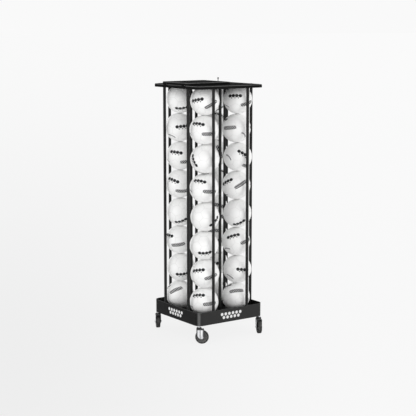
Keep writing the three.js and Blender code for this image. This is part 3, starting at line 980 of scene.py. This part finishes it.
for body, rider, direction in (("lid", "lid", 1), ("tray", "cart", -1)):
    screwSpots = []
    for side in ("left", "right"):
        x, y, z = pinMiddle = middleOf("hinge_pin_" + side)
        name = "hinge_%s_side_%s" % (body, side)
        mesh = meshOf(hingeLeaf(pinMiddle, direction), name)
        addPiece(name, mesh, blackCoat, rider, "black_coat", ["hinge_%s_leaf_%s" % (body, side)])
        face = y + hingeShape.knuckle - hingeShape.sheet
        for aside in (-hingeShape.screwSide, hingeShape.screwSide):
            spot = Vector((x + aside, face, z + direction * hingeShape.screwDown)) * mm
            screwSpots.append((spot, (math.pi / 2, 0, 0)))
    name = "hinge_screws_" + body
    made = copiesAt(name, turnedMesh("countersunk_screw", hingeShape.screw, 24), screwSpots, blackCoat)
    addPiece(name, made, None, rider, "black_coat")
for side in ("left", "right"):
    left, right, _, _, low, high = boxOf("hinge_pin_" + side)
    half, radius = (right - left) / 2, (high - low) / 2
    bm = bmesh.new()
    line = softened([(0, -half, 0), (radius, -half, 0.6), (radius, half, 0.6), (0, half, 0)])
    turn(bm, line, 24, moved(*middleOf("hinge_pin_" + side)) @ alongHinge)
    name = "hinge_rod_" + side
    addPiece(name, meshOf(bm, name), steel, "cart", "zinc", ["hinge_pin_" + side])
print("lid fittings made")


# Casters. In a caster's own frame the swivel axis is Z, the trail runs along +X and the axle along Y.

casterShape = Settings(trail=22, axle=51)
stemLow, stemTop = boxOf("caster_stem_front_left")[4:]
hoodLow, hoodTop = boxOf("caster_hood_front_left")[4:]
axlePlace = Vector((casterShape.trail, 0, casterShape.axle)) * mm


def axleTurn(bm, line, steps, closed=False):
    turn(bm, line, steps, Matrix.Translation(axlePlace) @ Matrix.Rotation(-math.pi / 2, 4, "X"), closed)


forkShape = Settings(
    crownTop=111, crownLow=108, back=-20, legIn=18.5, legBase=20.8, legOut=21.5,
    bend=4, innerBend=1.4, rim=0.6, heel=(4, 36), middle=13, knee=70, end=15,
    pads=((-11.5, 5.2), (10.6, 27.5)), padTop=106.5, padLow=36, padMargin=3.0, padSunk=0.8,
    shade=0.9,
)


def legBottom(x):
    # the height of the fork's lower edge
    shape = forkShape
    heelX, heelZ = shape.heel
    if x < heelX:
        return shape.knee + (heelZ - shape.knee) * (x - shape.back) / (heelX - shape.back)
    reach = max(0.0, x - casterShape.trail)
    return casterShape.axle - math.sqrt(max(0.0, shape.end ** 2 - reach ** 2))


def legPad(left, right, direction):
    # a raised pad on the outside of a leg
    shape = forkShape
    line = [(left, shape.padTop, 3)]
    for x, rounding in ((left, 2), ((left + right) / 2, 0), (right, 2)):
        line.append((x, max(legBottom(x), shape.padLow) + shape.padMargin, rounding))
    line.append((right, shape.padTop, 3))
    toLeg = Matrix(((1, 0, 0, 0), (0, 0, direction, 0), (0, 1, 0, 0), (0, 0, 0, 1)))
    pad = bmesh.new()
    plate(pad, softened(line, closed=True), shape.legBase - shape.padSunk, shape.legOut, toLeg)
    softEdges(pad, 0.5)
    return meshOf(pad, "leg_pad")


def makeFork():
    # one pressed sheet: a crown with a bend on either side, and two legs with raised pads
    shape = forkShape
    inside, outside, rim = shape.legIn, shape.legBase, shape.rim
    trail, heelX = casterShape.trail, shape.heel[0]
    spans = [shape.back + (heelX - shape.back) * i / 8 for i in range(8)] + [heelX, shape.middle, trail]
    spans += [trail + shape.end * math.sin(math.radians(a)) for a in range(10, 91, 10)]
    bm = bmesh.new()
    rings = []
    for x in spans:
        low = legBottom(x)
        outer = softened([
            (inside, low, rim), (outside, low, rim), (outside, shape.crownTop, shape.bend),
            (0, shape.crownTop, 0),
        ])[:-1]
        under = softened([
            (0, shape.crownLow, 0), (inside, shape.crownLow, shape.innerBend), (inside, low, rim),
        ])[1:-1]
        ring = [(y, z) for y, z in outer] + [(-y, z) for y, z in reversed(outer)]
        ring += [(-y, z) for y, z in reversed(under)] + [(y, z) for y, z in under]
        rings.append([bm.verts.new(Vector((x, y, z)) * mm) for y, z in ring])
    joinRings(bm, rings)
    for ring in (rings[0], rings[-1]):
        bm.faces.new(ring)
    softEdges(bm, 0.5)
    for direction, (left, right) in itertools.product((-1, 1), shape.pads):
        bm.from_mesh(legPad(left, right, direction))
    mesh = meshOf(bm, "fork")
    # painted shade: the whole sheet but its raised pads is painted dark, standing in for dark reflections in
    # the zinc
    shade = mesh.attributes.new("shade", "FLOAT", "POINT")
    for item, vertex in zip(shade.data, mesh.vertices):
        item.value = shape.shade if abs(vertex.co.y) < (outside + 0.1) * mm else 0.0
    return mesh


# lines of radius, distance out and rounding, from the leg or from the nut's end
axleShape = Settings(
    tip=[(0, -7), (3.4, -7), (4, -6.2)], radius=4, gap=0.3,
    washer=[(0, 0, 0), (9.2, 0, 0.3), (9.2, 1.0, 0.3), (0, 1.0, 0)],
    nut=[(0, 1.0), (7.1, 1.0), (7.5, 1.5)], nutEnd=[(7.5, -0.5), (6.9, 0), (0, 0)],
    nutHeight=4.4, headHeight=5.6,
)


def makeAxle():
    shape = axleShape
    out = forkShape.legOut + shape.gap
    bm = bmesh.new()
    axleTurn(bm, raised(shape.tip, -out) + [(shape.radius, out), (0, out)], 32)
    for side, height in ((-1, shape.headHeight), (1, shape.nutHeight)):
        nut = shape.nut + raised(shape.nutEnd, height)
        for line, steps in ((softened(shape.washer), 32), (nut, 6)):
            axleTurn(bm, [(r, side * (out + h)) for r, h in line], steps)
    return meshOf(bm, "axle_bolt")


# sections of one side of a wheel: radius, distance from the wheel's middle, and rounding
wheelShape = Settings(
    tyre=[(40.3, 12.2, 0), (41.6, 13.2, 0.6), (46.5, 15.8, 3.0), (49.8, 13.5, 3.5), (51, 6, 6)],
    core=[
        (4.4, 17.4, 0), (10.2, 17.4, 0.8), (11.2, 9.0, 2.0), (15.0, 7.0, 1.5), (31.5, 7.0, 2.0),
        (34.5, 12.4, 0.8), (36.6, 12.9, 0.5), (39.2, 12.4, 0.6), (40.0, 11.4, 0),
    ],
    rib=[(10.5, 6.5), (34.0, 6.5), (34.0, 11.6), (30.5, 11.2), (13.5, 14.2), (10.5, 15.6)],
    ribHalf=1.1, ribs=10,
)


def wheelPart(half, steps, faces):
    bm = bmesh.new()
    line = [(r, -h, s) for r, h, s in half] + [(r, h, s) for r, h, s in reversed(half)]
    axleTurn(bm, softened(line, closed=True, steps=steps), faces, closed=True)
    return bm


def makeWheelCore():
    bm = wheelPart(wheelShape.core, 3, 72)
    rib = bmesh.new()
    plate(rib, wheelShape.rib, -wheelShape.ribHalf, wheelShape.ribHalf)
    softEdges(rib, 0.35, 30)
    spots = []
    for i in range(wheelShape.ribs):
        angle = math.tau * i / wheelShape.ribs
        for flip in (0, math.pi):
            turned = Matrix.Rotation(angle, 3, "Y") @ Matrix.Rotation(flip, 3, "X")
            spots.append((axlePlace, turned.to_euler()))
    bm.from_mesh(copiesAt("ribs", meshOf(rib, "rib"), spots, wheelPlastic))
    return meshOf(bm, "wheel_core")


# lines of radius, height and rounding, from the hood's lower edge and from its top
hoodShape = Settings(
    side=[(5.4, 0, 0), (20.5, 0, 0.5), (20.5, 5.2, 2.0), (18.6, 10.5, 4.0)],
    top=[(13.5, 0, 2.4), (5.4, 0, 0)],
)
line = raised(hoodShape.side, hoodLow) + raised(hoodShape.top, hoodTop)
hood = turnedMesh("hood", softened(line, steps=5), 64, closed=True)

# the same: pin from its lower end, pinTop, washer and collarLow from the hood's top, collarHigh and shank
# from the tray's lower edge, groove and tip from the stem's top
stemShape = Settings(
    pin=[(0, 0, 0), (7.6, 0, 1.5), (7.9, 3, 0.5), (5, 3, 0)], pinTop=[(5, 0, 0), (0, 0, 0)],
    washer=[(0, 0.2, 0), (13.5, 0.2, 0.4), (13.5, 2.0, 0.4), (0, 2.0, 0)],
    collarLow=[(0, 2), (9.6, 2), (10.4, 2.6)], collarHigh=[(10.4, -0.9), (9.6, -0.3), (0, -0.3)],
    shank=[(0, -0.3), (5.5, -0.3)],
    groove=[(5.5, -8), (4.7, -7.4), (4.7, -6), (5.5, -5.4)], tip=[(5.5, -1.2), (4.3, 0), (0, 0)],
)


def makeStem():
    # kingpin with a riveted head, a washer and a hexagon collar, and the stem with a groove for its retaining
    # ring
    shape = stemShape
    bm = bmesh.new()
    turn(bm, softened(raised(shape.pin, stemLow) + raised(shape.pinTop, hoodTop)), 32)
    turn(bm, softened(raised(shape.washer, hoodTop)), 40)
    turn(bm, raised(shape.collarLow, hoodTop) + raised(shape.collarHigh, trayBottom), 6)
    turn(bm, raised(shape.shank, trayBottom) + raised(shape.groove + shape.tip, stemTop), 32)
    return meshOf(bm, "stem")


socketShape = Settings(bore=5.9, flare=1.2, flareHeight=3)
left, right, _, _, low, high = boxOf("caster_socket_front_left")
radius, bore = (right - left) / 2, socketShape.bore
line = [(bore, low, 0.4), (radius, low, 0.6), (radius, high - socketShape.flareHeight, 0)]
line += [(radius + socketShape.flare, high, 0), (bore, high, 0)]
socket = turnedMesh("socket", softened(line, closed=True), 40, closed=True)
tyre = meshOf(wheelPart(wheelShape.tyre, 5, 96), "tyre")
casterParts = [
    ("stem_bolt", makeStem(), zinc, "cart", "zinc", "caster_stem_"),
    ("stem_socket", socket, blackCoat, "cart", "black_coat", "caster_socket_"),
    ("bearing_hood", hood, blackPlastic, "cart", "black_plastic", "caster_hood_"),
    ("fork_sheet", makeFork(), forkZinc, "swivel_", "zinc", "caster_fork_"),
    ("axle_bolt", makeAxle(), steel, "swivel_", "zinc", "caster_axle_"),
    ("wheel_hub", makeWheelCore(), wheelPlastic, "wheel_", "wheel_core", "wheel_core_"),
    ("wheel_tyre", tyre, treadRubber, "wheel_", "tread", "wheel_tread_"),
]
for corner in corners:
    x, y, _ = middleOf("caster_socket_" + corner)
    wheelX, wheelY, _ = middleOf("wheel_tread_" + corner)
    turned = Matrix.Rotation(math.atan2(wheelY - y, wheelX - x), 4, "Z")
    place = Matrix.Translation((x * mm, y * mm, 0))
    for name, mesh, material, body, slotName, node in casterParts:
        made = mesh.copy()
        made.transform(place @ turned)
        rider = body if body == "cart" else body + corner
        addPiece(name + "_" + corner, made, material, rider, slotName, [node + corner])
print("casters made")


# Floor, backdrop and light

stageLook = Settings(
    floorSize=400.0, white=0.972, drop=0.104, leftDrop=0.012, even=0.25,
    shadowShare=0.06, base=0.86, away=9.12, above=2.38,
)


def floorFinish():
    # pale; the camera sees mostly a glow, painted light that is a little darker towards the near left as
    # painted shade, and a small lit share that keeps a soft shadow
    look = stageLook
    finish = Finish("pale floor", Roughness=0.9, Specular_IOR_Level=0.0, Base_Color=grey(look.base))
    x, y, z = finish.parts(finish.place())
    aside = x * imageRight.x + y * imageRight.y
    ahead = x * -imageRight.y + y * imageRight.x + look.away
    near = (look.above / ahead).fade(0.0, 0.30)
    left = (aside / ahead).fade(-0.2, 0.16, 1.0, 0.0)
    level = look.white - look.drop * near * (look.even + (1 - look.even) * left) - look.leftDrop * left
    shade = finish.node("ShaderNodeCombineColor", level, level, level)
    glow = finish.node("ShaderNodeEmission", Color=shade, Strength=1.0)
    share = finish.node("ShaderNodeLightPath", output="Is Camera Ray") * (1 - look.shadowShare)
    plain = Term(finish.tree, finish.shader.outputs[0])
    mixed = finish.node("ShaderNodeMixShader", share, plain, glow)
    feed(finish.tree, finish.tree.nodes["Material Output"].inputs["Surface"], mixed)
    return finish.material


half = stageLook.floorSize / 2
floorMesh = bpy.data.meshes.new("floor")
places = [(-half, -half, 0), (half, -half, 0), (half, half, 0), (-half, half, 0)]
floorMesh.from_pydata(places, [], [(0, 1, 2, 3)])
floorMesh.materials.append(floorFinish())
objectOf("floor", floorMesh)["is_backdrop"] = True

# each softbox: its place, what it faces, width and height in metres, and watts
lightLook = Settings(
    world=0.84, seen=0.948, softboxes={
        "front_softbox": ((8.3, -5.9, 1.1), (0, 0, 0.9), (3.6, 1.8), 92),
        "side_softbox": ((7.4, 4.5, 1.1), (0, 0, 0.8), (3.2, 1.8), 165),
        "left_softbox": ((0.6, -8.6, 1.1), (0, 0, 0.8), (3.2, 1.8), 135),
    },
)
world = bpy.data.worlds.new("studio")
bpy.context.scene.world = world
world.use_nodes = True
sky = world.node_tree
background = sky.nodes["Background"]
background.inputs["Color"].default_value = (1, 1, 1, 1)
seen = addNode(sky, "ShaderNodeLightPath", output="Is Camera Ray")
feed(sky, background.inputs["Strength"], lightLook.world + seen * (lightLook.seen - lightLook.world))
for name, (place, target, size, power) in lightLook.softboxes.items():
    lamp = bpy.data.lights.new(name, "AREA")
    lamp.shape = "RECTANGLE"
    lamp.size, lamp.size_y = size
    lamp.energy = power
    holder = objectOf(name, lamp)
    holder.location = place
    holder.visible_camera = False
    holder.rotation_euler = (Vector(target) - Vector(place)).to_track_quat("-Z", "Y").to_euler()

# Camera, at the photograph's place

camera = objectOf("camera", bpy.data.cameras.new("camera"))
camera.location = cameraPlace
camera.rotation_euler = (math.radians(90 - cameraLook.down), 0, cameraTurn)
camera.data.lens = cameraLook.lens
camera.data.sensor_width = cameraLook.sensor
camera.data.clip_end = cameraLook.far
bpy.context.scene.camera = camera
bpy.context.scene.view_settings.view_transform = "Standard"
print("stage made")

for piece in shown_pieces():
    assert len(piece.data.polygons) < 200000, piece.name
